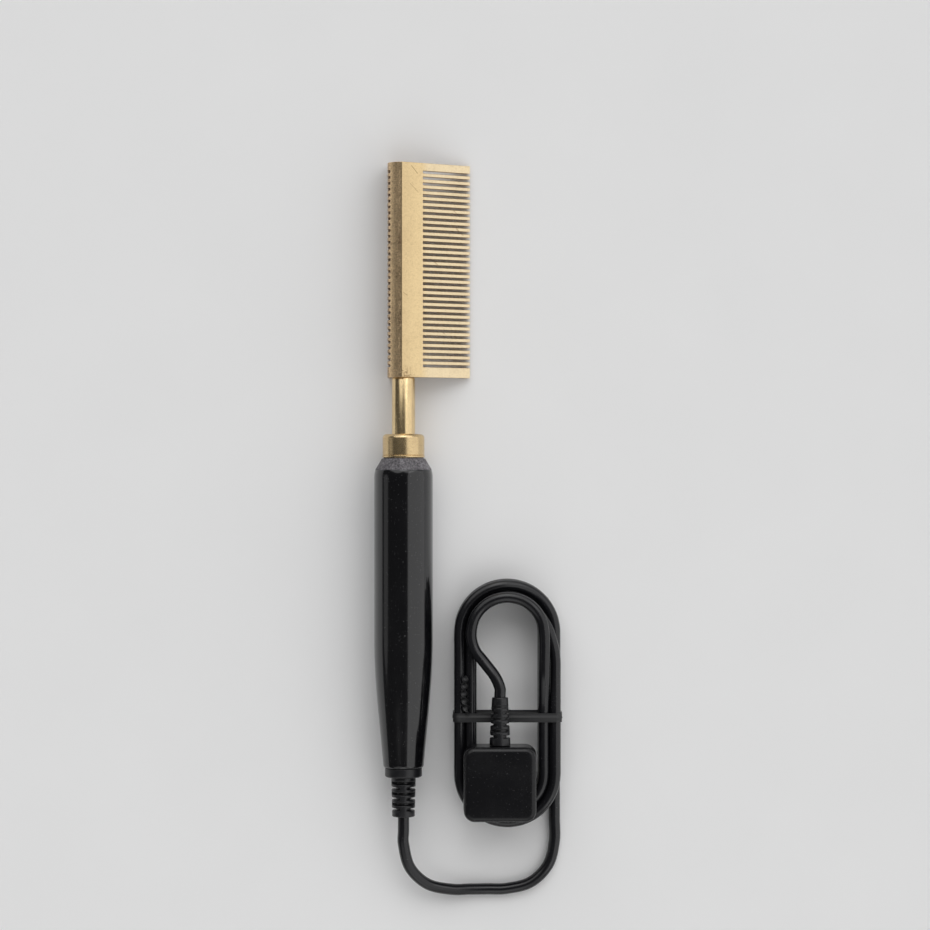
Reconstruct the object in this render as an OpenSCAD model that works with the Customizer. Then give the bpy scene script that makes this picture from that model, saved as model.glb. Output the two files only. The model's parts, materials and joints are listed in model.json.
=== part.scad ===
// Electric straightening comb: heated brass head, brass neck, turned handle and a swivelling cord.
// Row frame: +Y from cord end to head end, +Z up, the comb lies on the plane z = 0.

/* [Head] */
// Length of the brass head
head_len = 94.2; // [80:0.1:110]
// Radius of the round spine
spine_r = 7.04; // [6.5:0.01:8.5]
// Distance from the spine's axis to the flat front face
face_dist = 5.8; // [5.4:0.05:6.2]
// Angle between the front face and the surface that the comb lies on
face_tilt = 31.3; // [28:0.1:36]
// Thickness of both tooth plates
plate_t = 2.2; // [1.6:0.1:2.4]

/* [Teeth] */
// Number of gaps in each row
gap_count = 34; // [20:1:34]
// Spacing of the gaps
gap_pitch = 2.58; // [2.2:0.01:2.58]
// Width of one gap
gap_w = 1.15; // [0.8:0.05:1.5]
// Distance from the head's free end to the first gap's middle
first_gap = 4.0; // [3:0.1:5]
// Distance along the front face from the spine's axis to the roots of the long gaps
long_root = 6.6; // [6.4:0.1:9]
// Depth of the short gaps where they notch the side of the spine
notch_depth = 1.4; // [0.8:0.1:1.6]
// Height of the short gaps' roots below the spine's axis
short_root = 3.5; // [3:0.1:5]
// Corner cut at the tips of all teeth
tip_cut = 0.35; // [0.1:0.05:0.5]

/* [Heater] */
// Radius of the bore that holds the heater
heater_r = 3.6; // [3.4:0.05:3.8]
// Length of the heater
heater_len = 70; // [50:1:74]
// Wall of the insulating jacket
jacket_t = 0.3; // [0.2:0.05:0.4]
// Thickness of the ceramic chips
chip_t = 1.3; // [1:0.1:1.6]
// Thickness of the contact strips
strip_t = 0.3; // [0.2:0.05:0.4]

/* [Neck] */
// Radius of the neck tube
tube_r = 5.1; // [4.9:0.05:5.4]
// Radius of the tube's spigot in the spine
spigot_r = 4.0; // [3.9:0.05:4.2]
// Length of tube that shows between head and collar
neck_len = 24.9; // [15:0.1:40]
// Length of the collar
collar_len = 10.3; // [8:0.1:14]
// Radius of the collar
collar_r = 9.2; // [8.8:0.05:9.3]

/* [Handle] */
// Length of the handle, shoulder ring included
handle_len = 136.2; // [130:0.1:150]
// Radius of the grip
grip_r = 12.9; // [12.6:0.1:15]
// Radius of the handle's cord end
end_r = 8.97; // [8.8:0.01:9.6]
// Radius of the inner cavity
cavity_r = 9.6; // [9:0.1:10]

/* [Swivel] */
// Radius of the turning cap at the handle's end
cap_r = 8.14; // [7.5:0.01:8.8]
// Length of the cap outside the handle
cap_len = 4.2; // [3.5:0.1:5]
// Radial clearance of the turning fits
run_gap = 0.05; // [0.02:0.01:0.1]
// Length of the strain relief outside the cap
relief_len = 17.4; // [14:0.1:30]
// Radius of the strain relief where it leaves the cap
relief_r = 5.4; // [5:0.1:6]

/* [Cord] */
// Diameter of the cord
cord_d = 5; // [5:0.1:5.2]

/* [Plug] */
// Width of the plug
plug_w = 32; // [28:0.5:34]
// Length of the plug without its sleeve
plug_len = 33; // [32:0.5:33]
// Height of the plug
plug_h = 15; // [14:0.5:16]

/* [Hidden] */
$fn = 64;
eps = 0.01;
over = 1;

// Stations along the comb's axis, from the head's free end towards the cord
collar_at = head_len + neck_len;
handle_at = collar_at + collar_len;
handle_end = handle_at + handle_len;
cap_gap = 0.15;
cap_at = handle_end + cap_gap;
cap_end = handle_end + cap_len;
comb_len = cap_end + relief_len;

// Teeth
tip_u = (grip_r + (face_dist - plate_t) * cos(face_tilt)) / sin(face_tilt);
tip_x = face_dist * sin(face_tilt) + tip_u * cos(face_tilt);
short_in = spine_r - plate_t;

// The comb's axis in the row frame
axis_x = (grip_r - tip_x) / 2;
axis_y = comb_len / 2;
axis_z = grip_r;

// Heater
spigot_len = 9;
spigot_bore = 3.2;
heater_end = head_len - spigot_len - 1.5;
heater_at = heater_end - heater_len;
wedge_y = chip_t / 2 + strip_t;
strip_w = 5;
strip_tail = 8;
lead_lap = 7;
chip_count = 3;
chip_gap = 1;

// Neck and shank
tube_bore = 3.8;
shank_end = handle_at + 46;
collar_spigot_r = 7.5;
collar_spigot_len = 5;
collar_round = 1.8;
lip_h = 0.9;
lip_out = 0.15;

// Shoulder ring and handle
shoulder_len = 5.5;
shoulder_top_r = 9.3;
shoulder_low_r = 12.5;
shoulder_spigot = 6;
shell_at = handle_at + shoulder_len;
blend_len = 3.4;
taper_at = handle_end - 55.6;
taper_end = handle_end - 1.4;
taper_steps = 18;
end_bevel = 0.6;
socket_r = 6.9;
cone_at = handle_end - 40;
socket_at = handle_end - 22.6;

// Inside the handle
bush_at = shell_at + shoulder_spigot;
bush_len = 17;
bulkhead_at = shank_end - 7;
bulkhead_t = 4;
nut_t = 0.8;
nut_r = 7.4;
insulator_len = 8;
insulator_head = 2;
lead_r = 0.6;
lead_y = wedge_y + lead_r;
wire_sides = 8;
sleeve_r = 1.2;
sleeve_end = shank_end + 11;
fuse_at = sleeve_end + 10;
fuse_len = 10;
fuse_r = 2;
crimp_r = 1;
crimp_len = 6;

// Swivel
journal_r = 3.95;
journal_at = handle_end - 9.6;
neck_r = 2.4;
tip_len = 2.2;
groove_at = socket_at - 1.2;
groove_w = 0.8;
groove_depth = 0.4;
wall_t = 1.5;
chamber_r = 5.4;
socket_end = handle_end - 0.7;
ring_t = 0.6;
ring_w = 3;
ring_live_at = socket_at + 2.6;
ring_neutral_at = ring_live_at + 5.4;
ring_live_r = 3.3;
ring_neutral_r = 3.9;
leaf_t = 0.3;
leaf_w = 1.4;
leaf_gap = 0.05;
leaf_tail = 3;
link_end = 5;
leaf_live_y = ring_live_r + leaf_gap;
leaf_neutral_y = ring_neutral_r + leaf_gap;
core_r = 0.9;
core_x = 1.0;
core_bore = 1.95;
cord_bore_at = handle_end - 5;
spindle_end = handle_end + 2.4;
cap_boss_r = 5;
cap_edge = 0.4;
relief_plug_r = 4.2;
relief_end_r = 5.0;
row_pitch = 2.33;
row_count = 6;
row_at = 2.45;
slot_w = 1.1;
slot_depth = 1.7;
slot_wall = 0.4;
rib_w = 2.6;

// Cord and plug, measured from the point where the cord leaves the strain relief
cord_r = cord_d / 2;
cord_sides = 10;
hank_x = 45.7;
hank_y = 49.6;
hank_run = 31;
hank_in_r = 16;
hank_out_r = hank_in_r + cord_d;
hank_layers = 3;
hank_h = hank_layers * cord_d;
tie_y = 43.6;
tie_w = 4;
tie_t = 0.7;
plug_x = 42.3;
plug_y = -0.8;
plug_corner = 5;
plug_bevel = 2.5;
plug_axis_z = hank_h + plug_h / 2;
plug_relief_len = 21;
plug_relief_r = 4.6;
plug_relief_end_r = 3.5;
plug_row_at = 4;
plug_row_pitch = 2.6;
blade_len = 14.8;
blade_t = 1.5;
blade_space = 12.7;
blade_w = 6.3;
blade_wide_w = 7.9;
blade_hole_r = 1.6;
blade_hole_in = 3;
blade_y = plug_y + 18;

// Route of the lead: out of the strain relief, round below the hank and up its right side
lead_route = [
    [0, -0.2, axis_z], [0, -6.4, axis_z], [0, -12.4, 12.5], [2.8, -22.9, 10.8],
    [10.5, -30.6, 7.8], [21, -33.4, 4.9], [29.2, -33.6, 3.3], [37.2, -33.6, 2.6],
    [45.7, -33.4, 2.5], [56.2, -30.6, 2.5], [63.9, -22.9, 2.5], [66.7, -12.4, 2.5],
    [66.7, -2.4, 2.5], [66.7, 7.6, 2.5], [66.7, 18.6, 2.5]
];

// Route of the tail: off the hank's top layer, round its upper end and down to the plug
tail_route = [
    [61.7, 55.6, 15], [61.7, 63.6, 16.9], [61.7, 71.6, 17.5], [61.7, 80.6, 17.5],
    [59.6, 88.6, 17.5], [53.7, 94.5, 17.5], [45.7, 96.6, 17.5], [37.7, 94.5, 17.5],
    [31.8, 88.6, 17.5], [29.7, 80.6, 17.6], [31.2, 73.8, 18.2], [35.3, 68.4, 19.5],
    [40, 62.4, 21.5], [42.3, 57.1, 22.4], [42.3, 53.2, 22.5]
];

brass = [0.85, 0.75, 0.55];
black_plastic = [0.08, 0.08, 0.09];
grey_plastic = [0.22, 0.22, 0.24];
rubber = [0.12, 0.12, 0.13];
steel = [0.7, 0.7, 0.72];
copper = [0.8, 0.5, 0.35];
ceramic = [0.9, 0.88, 0.82];
mica = [0.75, 0.6, 0.3];
alloy = [0.8, 0.8, 0.82];

// ---- placing ----

// Puts the comb's own frame (x right, y up, z from the head's free end to the cord) in the row frame
module on_axis() translate([axis_x, axis_y, axis_z]) rotate([90, 0, 0]) children();

// Puts the cord and the plug at the strain relief's end, on the surface the comb lies on
module at_cord() translate([axis_x, -axis_y, 0]) children();

module at(station) translate([0, 0, station]) children();

module disc(r, from, to) at(from) cylinder(r = r, h = to - from);

module ring(r_in, r_out, from, to) difference() {
    disc(r_out, from, to);
    disc(r_in, from - over, to + over);
}

function unit(v) = v / norm(v);
function heading(path, i) = unit(path[min(i + 1, len(path) - 1)] - path[max(i - 1, 0)]);
function ring_point(path, i, r, up, angle) = let (
    ahead = heading(path, i),
    across = unit(cross(ahead, up))
) path[i] + r * (cos(angle) * across + sin(angle) * cross(across, ahead));

// A tube of n sides through the points of a path that never runs along up
module tube(path, r, n, up) {
    last = (len(path) - 1) * n;
    polyhedron(
        points = [for (i = [0 : len(path) - 1], k = [0 : n - 1]) ring_point(path, i, r, up, 360 * k / n)],
        faces = concat(
            [[for (k = [0 : n - 1]) k]],
            [[for (k = [n - 1 : -1 : 0]) last + k]],
            [for (i = [0 : len(path) - 2], k = [0 : n - 1])
                [i * n + k, (i + 1) * n + k, (i + 1) * n + (k + 1) % n, i * n + (k + 1) % n]]
        )
    );
}

// ---- head ----

function bar_from(k) = k == 0 ? 0 : first_gap + (k - 1) * gap_pitch + gap_w / 2;
function bar_to(k) = k == gap_count ? head_len : first_gap + k * gap_pitch - gap_w / 2;

module spine_outline() difference() {
    circle(r = spine_r);
    rotate(-face_tilt) translate([-2 * spine_r, face_dist]) square([4 * spine_r, spine_r]);
    translate([-short_in - 2 * spine_r, -2 * spine_r]) square([2 * spine_r, 4 * spine_r]);
}

module comb_spine() color(brass) on_axis() difference() {
    linear_extrude(head_len) spine_outline();
    disc(heater_r, heater_at, head_len);
    disc(spigot_r, head_len - spigot_len, head_len + over);
}

// One tooth or end bar, seen square to its plate: root at 0, tip at length
module tooth_outline(length, from, to) polygon([
    [0, from], [length - tip_cut, from], [length, from + tip_cut],
    [length, to - tip_cut], [length - tip_cut, to], [0, to]
]);

module long_tooth_row() color(brass) on_axis() difference() {
    rotate(-face_tilt) translate([0, face_dist, 0]) rotate([90, 0, 0]) linear_extrude(plate_t) {
        square([long_root + eps, head_len]);
        for (k = [0 : gap_count])
            translate([long_root, 0]) tooth_outline(tip_u - long_root, bar_from(k), bar_to(k));
    }
    disc(spine_r, -over, head_len + over);
}

// The short row's plate, seen along the comb: flat below the axis, rounded with the spine above it
module short_outline(depth, low) intersection() {
    translate([-short_in - depth, low]) square([depth, spine_r - low]);
    union() {
        circle(r = spine_r);
        translate([-spine_r, -2 * grip_r]) square([plate_t, 2 * grip_r]);
    }
}

module short_tooth_row() color(brass) on_axis() {
    linear_extrude(head_len) short_outline(plate_t - notch_depth, -short_root);
    for (k = [0 : gap_count]) at(bar_from(k)) {
        linear_extrude(bar_to(k) - bar_from(k)) short_outline(plate_t, tip_cut - grip_r);
        at(tip_cut) linear_extrude(bar_to(k) - bar_from(k) - 2 * tip_cut) short_outline(plate_t, -grip_r);
    }
}

// ---- heater ----

module heater_jacket() color(mica) on_axis() ring(heater_r - jacket_t, heater_r, heater_at, heater_end);

module heater_wedges() color(alloy) on_axis() for (side = [-1, 1]) intersection() {
    disc(heater_r - jacket_t, heater_at, heater_end);
    translate([-heater_r, side > 0 ? wedge_y : -wedge_y - heater_r, heater_at - over])
        cube([2 * heater_r, heater_r, heater_len + 2 * over]);
}

module heater_electrodes() color(steel) on_axis() for (side = [-1, 1])
    translate([-strip_w / 2, side * (chip_t + strip_t) / 2 - strip_t / 2, heater_at + over])
        cube([strip_w, strip_t, heater_len - over + strip_tail]);

module heater_chips() color(ceramic) on_axis() {
    chip_len = (heater_len - 2 * over - (chip_count - 1) * chip_gap) / chip_count;
    for (i = [0 : chip_count - 1])
        translate([-strip_w / 2, -chip_t / 2, heater_at + over + i * (chip_len + chip_gap)])
            cube([strip_w, chip_t, chip_len]);
}

// ---- neck ----

module shank_tube() color(brass) on_axis() difference() {
    union() {
        disc(spigot_r, head_len - spigot_len, head_len + over);
        disc(tube_r, head_len, shank_end);
    }
    disc(spigot_bore, head_len - spigot_len - over, head_len + over);
    disc(tube_bore, head_len + over, shank_end + over);
}

module collar_outline() {
    translate([tube_r, collar_round]) square([collar_r - tube_r, collar_len - collar_round]);
    translate([tube_r, 0]) square([collar_r - collar_round - tube_r, collar_len]);
    translate([collar_r - collar_round, collar_round]) circle(r = collar_round);
    translate([tube_r, collar_len - lip_h]) square([collar_r + lip_out - tube_r, lip_h]);
    translate([tube_r, 0]) square([collar_spigot_r - tube_r, collar_len + collar_spigot_len]);
}

module collar() color(brass) on_axis() at(collar_at) rotate_extrude() collar_outline();

// ---- handle ----

module shoulder_ring() color(grey_plastic) on_axis() difference() {
    union() {
        at(handle_at) cylinder(r1 = shoulder_top_r, r2 = shoulder_low_r, h = shoulder_len);
        disc(cavity_r, handle_at + over, shell_at + shoulder_spigot);
    }
    disc(collar_spigot_r, handle_at - over, handle_at + collar_spigot_len);
    disc(tube_r, handle_at, shell_at + shoulder_spigot + over);
}

// Share of the taper done at t, from 0 at its start to 1 at the handle's end
function taper(t) = 1.85 * t * t - 0.85 * t * t * t;

module handle_outline() polygon(concat(
    [[cavity_r, shell_at], [shoulder_low_r, shell_at], [grip_r, shell_at + blend_len]],
    [for (i = [0 : taper_steps]) let (t = i / taper_steps)
        [grip_r - (grip_r - end_r) * taper(t), taper_at + (taper_end - taper_at) * t]],
    [[end_r - end_bevel, handle_end], [socket_r, handle_end], [socket_r, socket_at], [cavity_r, cone_at]]
));

module handle_shell() color(black_plastic) on_axis() rotate_extrude() handle_outline();

module heat_bush() color(ceramic) on_axis() ring(tube_r, cavity_r, bush_at, bush_at + bush_len);

module rear_bulkhead() color(mica) on_axis() ring(tube_r, cavity_r, bulkhead_at, bulkhead_at + bulkhead_t);

module push_nut() color(steel) on_axis()
    ring(tube_r, nut_r, bulkhead_at + bulkhead_t, bulkhead_at + bulkhead_t + nut_t);

module lead_insulator() color(ceramic) on_axis() difference() {
    union() {
        disc(tube_bore, shank_end - insulator_len, shank_end);
        disc(tube_r, shank_end, shank_end + insulator_head);
    }
    for (side = [-1, 1]) translate([0, side * lead_y, 0])
        disc(sleeve_r, shank_end - insulator_len - over, shank_end + insulator_head + over);
}

module heater_leads() color(copper) on_axis() {
    from = heater_end + strip_tail - lead_lap;
    translate([0, lead_y, 0]) disc(lead_r, from, fuse_at - crimp_len / 2);
    translate([0, -lead_y, 0]) disc(lead_r, from, fuse_at);
}

module lead_sleeves() color(ceramic) on_axis() for (side = [-1, 1])
    translate([0, side * lead_y, 0]) ring(lead_r, sleeve_r, head_len, sleeve_end);

module thermal_fuse() color(steel) on_axis() translate([0, lead_y, 0]) {
    disc(fuse_r, fuse_at, fuse_at + fuse_len);
    disc(lead_r, fuse_at - crimp_len / 2, fuse_at + fuse_len + crimp_len / 2);
}

module crimp_sleeves() color(copper) on_axis() {
    translate([0, lead_y, 0]) {
        ring(lead_r, crimp_r, fuse_at - crimp_len, fuse_at - over);
        ring(lead_r, crimp_r, fuse_at + fuse_len + over, fuse_at + fuse_len + crimp_len);
    }
    translate([0, -lead_y, 0]) ring(lead_r, crimp_r, fuse_at - crimp_len / 2, fuse_at + crimp_len / 2);
}

// A link wire in the plane x = 0, from the height and station where it starts to the tail of a brush
module link_wire(from_y, from, tail_y) tube([
    [0, from_y, from], [0, from_y, from + link_end],
    [0, tail_y, socket_at - leaf_tail - link_end], [0, tail_y, socket_at - leaf_tail + leaf_t]
], lead_r, wire_sides, [1, 0, 0]);

module link_wires() color(copper) on_axis() {
    link_wire(lead_y, fuse_at + fuse_len + crimp_len / 2, leaf_live_y - lead_r);
    link_wire(-lead_y, fuse_at, lead_r - leaf_neutral_y);
}

// ---- swivel ----

module swivel_socket() color(grey_plastic) on_axis() difference() {
    disc(socket_r, socket_at, socket_end);
    disc(neck_r + run_gap, socket_at - over, socket_at + wall_t + over);
    disc(chamber_r, socket_at + wall_t, journal_at);
    disc(journal_r + run_gap, journal_at - eps, socket_end + over);
    brush_strips();
}

// The leaf contacts, from their tails behind the socket to the ends of their rings
module brush_strips() {
    translate([-leaf_w / 2, leaf_live_y, socket_at - leaf_tail])
        cube([leaf_w, leaf_t, ring_live_at + ring_w - socket_at + leaf_tail]);
    translate([-leaf_w / 2, -leaf_neutral_y - leaf_t, socket_at - leaf_tail])
        cube([leaf_w, leaf_t, ring_neutral_at + ring_w - socket_at + leaf_tail]);
}

module swivel_brushes() color(copper) on_axis() brush_strips();

module swivel_spindle() color(black_plastic) on_axis() difference() {
    union() {
        disc(neck_r, socket_at - tip_len, ring_live_at);
        disc(ring_live_r - ring_t, ring_live_at - ring_t, ring_neutral_at);
        disc(ring_neutral_r - ring_t, ring_neutral_at - ring_t, journal_at);
        disc(journal_r, ring_neutral_at + ring_w + ring_t, spindle_end);
    }
    ring(neck_r - groove_depth, neck_r + over, groove_at, groove_at + groove_w);
    disc(core_bore, ring_live_at + over, cord_bore_at + over);
    disc(cord_r, cord_bore_at, spindle_end + over);
}

module slip_ring_live() color(brass) on_axis()
    ring(ring_live_r - ring_t, ring_live_r, ring_live_at, ring_live_at + ring_w);

module slip_ring_neutral() color(brass) on_axis()
    ring(ring_neutral_r - ring_t, ring_neutral_r, ring_neutral_at, ring_neutral_at + ring_w);

module spindle_clip() color(steel) on_axis()
    ring(neck_r - groove_depth, neck_r + groove_w, groove_at, groove_at + groove_w);

module swivel_cap() color(black_plastic) on_axis() difference() {
    union() {
        disc(cap_boss_r, socket_end + cap_gap, cap_at + over);
        disc(cap_r - cap_edge, cap_at, cap_end);
        disc(cap_r, cap_at + cap_edge, cap_end - cap_edge);
    }
    disc(journal_r, handle_end - 2, spindle_end);
    disc(relief_plug_r, spindle_end - eps, cap_end + over);
}

// A tapered sleeve, its own long axis as z, with rows of slots cut in from two sides. Two ribs
// stand between the slots of a row, and each row's ribs lie across those of the next
module slotted_sleeve(r_from, r_to, length, rows, row_from, pitch) difference() {
    cylinder(r1 = r_from, r2 = r_to, h = length);
    disc(cord_r, -over, length + over);
    for (i = [0 : rows - 1]) at(row_from + i * pitch) rotate(90 * (i % 2)) difference() {
        ring(max(r_to - slot_depth, cord_r + slot_wall), r_from + over, -slot_w / 2, slot_w / 2);
        cube([rib_w, 3 * r_from, 2 * slot_w], center = true);
    }
}

module strain_relief() color(rubber) on_axis() {
    at(cap_end) rotate(90) slotted_sleeve(relief_r, relief_end_r, relief_len, row_count, row_at, row_pitch);
    ring(cord_r, relief_plug_r, spindle_end, cap_end + eps);
}

module cord_stub() color(rubber) on_axis() disc(cord_r, cord_bore_at, comb_len);

module cord_cores() color(copper) on_axis() for (side = [-1, 1])
    translate([side * core_x, 0, 0]) disc(core_r, ring_live_at + over, cord_bore_at);

// ---- cord ----

module cord_lead() color(rubber) at_cord() tube(lead_route, cord_r, cord_sides, [0, 0, 1]);

module cord_tail() color(rubber) at_cord() tube(tail_route, cord_r, cord_sides, [0, 0, 1]);

module oval(r) {
    for (end = [-1, 1]) translate([0, end * hank_run]) circle(r = r);
    translate([-r, -hank_run]) square([2 * r, 2 * hank_run]);
}

module cord_hank() color(rubber) at_cord() difference() {
    translate([hank_x, hank_y, 0]) linear_extrude(hank_h) difference() {
        oval(hank_out_r + cord_r);
        oval(hank_in_r - cord_r);
    }
    translate([hank_x - 2 * hank_out_r, tie_y - tie_w / 2, -over])
        cube([4 * hank_out_r, tie_w, over + tie_t]);
}

module cord_tie() color(black_plastic) at_cord() {
    half = hank_out_r + cord_r;
    translate([hank_x, tie_y + tie_w / 2, 0]) rotate([90, 0, 0]) linear_extrude(tie_w) difference() {
        translate([-half - tie_t, 0]) square([2 * (half + tie_t), hank_h + tie_t]);
        translate([-half, tie_t]) square([2 * half, hank_h - tie_t]);
    }
}

// ---- plug ----

// The plug's outline with its corners rounded, made smaller by inset
module plug_outline(inset) {
    r = plug_corner - inset;
    half = plug_w / 2 - plug_corner;
    for (x = [-half, half], y = [plug_corner, plug_len - plug_corner]) translate([x, y]) circle(r = r);
    translate([-half - r, plug_corner]) square([2 * (half + r), plug_len - 2 * plug_corner]);
    translate([-half, inset]) square([2 * half, plug_len - 2 * inset]);
}

module plug_body() color(black_plastic) at_cord() translate([plug_x, plug_y, hank_h]) {
    linear_extrude(plug_h - plug_bevel) plug_outline(0);
    at(plug_h - plug_bevel - eps) linear_extrude(plug_bevel / 2 + eps) plug_outline(plug_bevel / 3);
    at(plug_h - plug_bevel / 2 - eps) linear_extrude(plug_bevel / 2 + eps) plug_outline(plug_bevel);
}

module blade(width) difference() {
    translate([-blade_t / 2, -width / 2, -blade_len]) cube([blade_t, width, blade_len]);
    translate([0, 0, blade_hole_in - blade_len]) rotate([0, 90, 0])
        cylinder(r = blade_hole_r, h = 3 * blade_t, center = true);
}

module plug_blades() color(brass) at_cord() {
    translate([plug_x - blade_space / 2, blade_y, hank_h]) blade(blade_wide_w);
    translate([plug_x + blade_space / 2, blade_y, hank_h]) blade(blade_w);
}

module plug_relief() color(rubber) at_cord()
    translate([plug_x, plug_y + plug_len, plug_axis_z]) rotate([-90, 0, 0])
        slotted_sleeve(
            plug_relief_r, plug_relief_end_r, plug_relief_len,
            row_count, plug_row_at, plug_row_pitch
        );

comb_spine();
long_tooth_row();
short_tooth_row();
heater_jacket();
heater_wedges();
heater_electrodes();
heater_chips();
shank_tube();
collar();
shoulder_ring();
handle_shell();
heat_bush();
rear_bulkhead();
push_nut();
lead_insulator();
heater_leads();
lead_sleeves();
thermal_fuse();
crimp_sleeves();
link_wires();
swivel_socket();
swivel_brushes();
swivel_spindle();
slip_ring_live();
slip_ring_neutral();
spindle_clip();
swivel_cap();
strain_relief();
cord_stub();
cord_cores();
cord_lead();
cord_hank();
cord_tail();
cord_tie();
plug_body();
plug_blades();
plug_relief();
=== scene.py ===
import json

import bpy
import numpy as np
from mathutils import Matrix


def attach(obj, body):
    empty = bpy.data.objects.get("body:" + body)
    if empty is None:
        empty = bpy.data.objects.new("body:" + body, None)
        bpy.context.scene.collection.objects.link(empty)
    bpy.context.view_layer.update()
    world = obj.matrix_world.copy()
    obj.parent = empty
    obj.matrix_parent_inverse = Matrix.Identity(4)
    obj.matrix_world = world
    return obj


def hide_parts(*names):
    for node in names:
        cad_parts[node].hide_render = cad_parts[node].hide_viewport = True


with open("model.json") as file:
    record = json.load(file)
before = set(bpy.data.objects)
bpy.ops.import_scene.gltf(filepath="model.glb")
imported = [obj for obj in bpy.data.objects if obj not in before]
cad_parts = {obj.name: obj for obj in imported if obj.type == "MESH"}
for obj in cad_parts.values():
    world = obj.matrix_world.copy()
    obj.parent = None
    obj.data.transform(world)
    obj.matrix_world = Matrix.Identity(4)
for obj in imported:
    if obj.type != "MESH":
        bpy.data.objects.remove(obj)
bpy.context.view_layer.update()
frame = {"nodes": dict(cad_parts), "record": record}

# ---- measures of the comb, in millimetres ----
# A station is a distance from the head's end along the comb's axis, towards the cord. Names that
# end in _AT or _END are stations, and names that end in _R are radii. LONG_ROOT and LONG_TIP lie
# that far down the front face, and SHORT_ROOT lies that far below the axis.

AXIS = np.array([-8.1946, 143.6, 12.9])

HEAD_LEN = 94.2
SPINE_R = 7.04
RIDGE_TILT = np.radians(38)
RIDGE = np.array([-np.sin(RIDGE_TILT), 0.0, np.cos(RIDGE_TILT)])
FACE_DIST = 5.8
FACE_TILT = np.radians(31.3)
FACE_NORMAL = np.array([np.sin(FACE_TILT), 0.0, np.cos(FACE_TILT)])
FACE_DOWN = np.array([np.cos(FACE_TILT), 0.0, -np.sin(FACE_TILT)])
PLATE = 2.2
GAPS = 34
GAP_PITCH = 2.58
GAP_W = 1.15
FIRST_GAP = 4.0
LONG_ROOT = 6.6
NOTCH = 1.4
SHORT_ROOT = 3.5
LONG_TIP = (AXIS[2] + (FACE_DIST - PLATE) * np.cos(FACE_TILT)) / np.sin(FACE_TILT)
EDGE_ROUND = 0.22
SAME_POINT = 0.003

TUBE_R = 5.1
TUBE_BORE_R = 3.8
SPIGOT_AT = 85.2
SPIGOT_R = 4.0
SPIGOT_BORE_R = 3.2
BORE_STEP_AT = 95.2
TUBE_GROOVE_W = 0.45
TUBE_GROOVE_R = 4.6
SHANK_END = 175.4

COLLAR_AT = 119.1
COLLAR_R = 9.2
LIP_GROOVE_LEN = 0.4
LIP_GROOVE_R = 9.02
LIP_LEN = 0.8
LIP_R = 9.38
SKIRT_R = 7.5
SKIRT_LEN = 5.0

HANDLE_AT = 129.4
SHOULDER_R = 9.5
RECESS = 0.45
RECESS_R = 8.8
SHELL_AT = 134.9
PILOT_R = 9.6
PILOT_LEN = 6.0
GRIP_START_R = 12.5
GRIP_R = 12.9
GRIP_TAIL_R = 8.97
SEAM = 0.15
SWELL_LEN = 3.25
TAPER_LEN = 55.6
RIM = 1.4
RIM_DEPTH = 0.75
SOCKET_R = 6.9
SOCKET_LEN = 22.6
HOLLOW_LEN = 40.0
HANDLE_END = 265.6

CAP_R = 8.14
CAP_NECK_R = 5.0
CAP_NECK_LEN = 0.6
CAP_BORE_R = 4.0
CAP_STEP = 2.4
CAP_END = 269.8
SLEEVE_LEN = 17.4

CORD_D = 5.0
CORD_STEP = 1.6
HANK = np.array([37.5, -94.0])
HANK_RUN = 31.0
HANK_R = 16.0
HANK_TURNS = 5.2
FIRST_STEP = 0.65
STEP_EVERY = 0.9
STEP_LEN = 0.1

TIE_Y = -100.0
TIE_HALF_W = 2.0
TIE_HALF = 0.15
WIRE_HALF = 0.35
TIE_ROUND = 2.8

PLUG = np.array([34.1, -144.4, 15.0])
PLUG_LEN = 33.0
PLUG_SLEEVE_LEN = 21.0
PLUG_AXIS_Z = 22.5
PLUG_HALF = np.array([16.0, 16.5])
PLUG_CORNER = 5.0
PLUG_FOOT = 0.8
PLUG_BROW = 2.2
PLUG_DRAFT = 0.25
PLUG_WALL = 12.7
RIB_PITCH = 2.4
RIB_DEPTH = 0.55


# ---- shapes worked out on grids ----

def unit(v):
    """v / |v|, along the last axis."""
    return v / np.linalg.norm(v, axis=-1, keepdims=True)


def on_axis(x, y, station):
    """Places points of the comb: X = axis x + x, Y = axis y - station, Z = axis z + y."""
    return np.stack(np.broadcast_arrays(AXIS[0] + x, AXIS[1] - station, AXIS[2] + y), axis=-1)


def smooth(t):
    """3 t^2 - 2 t^3 for t from 0 to 1, and 0 or 1 outside that."""
    t = np.clip(t, 0, 1)
    return t * t * (3 - 2 * t)


def soften(corners, radii, steps=5):
    """A closed outline whose corners are rounded off by arcs.

    a and b point from a corner to its neighbours, and h is half the angle between them. The arc
    of radius r has its centre r / sin h from the corner along a + b, and starts r / tan h along a.
    Its points are centre + r (sin((1 - s) t) p + sin(s t) q) / sin t for s from 0 to 1, where p
    and q point from the centre to the arc's ends and t = pi - 2 h is the angle between them.
    """
    corners = np.asarray(corners, float)
    r = np.broadcast_to(np.asarray(radii, float), len(corners))[:, None]
    a = unit(np.roll(corners, 1, axis=0) - corners)
    b = unit(np.roll(corners, -1, axis=0) - corners)
    half = 0.5 * np.arccos(np.clip(np.sum(a * b, axis=1, keepdims=True), -1, 1))
    centre = corners + unit(a + b) * r / np.sin(half)
    p = unit(corners + a * r / np.tan(half) - centre)
    q = unit(corners + b * r / np.tan(half) - centre)
    turn = (np.pi - 2 * half)[:, None]
    s = np.linspace(0, 1, steps + 1)[None, :, None]
    arc = (np.sin((1 - s) * turn) * p[:, None] + np.sin(s * turn) * q[:, None]) / np.sin(turn)
    return (centre[:, None] + r[:, None] * arc).reshape(-1, corners.shape[1])


def around(count):
    """Angles evenly round a circle, the first at 0."""
    return np.linspace(0, 2 * np.pi, count, endpoint=False)


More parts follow.
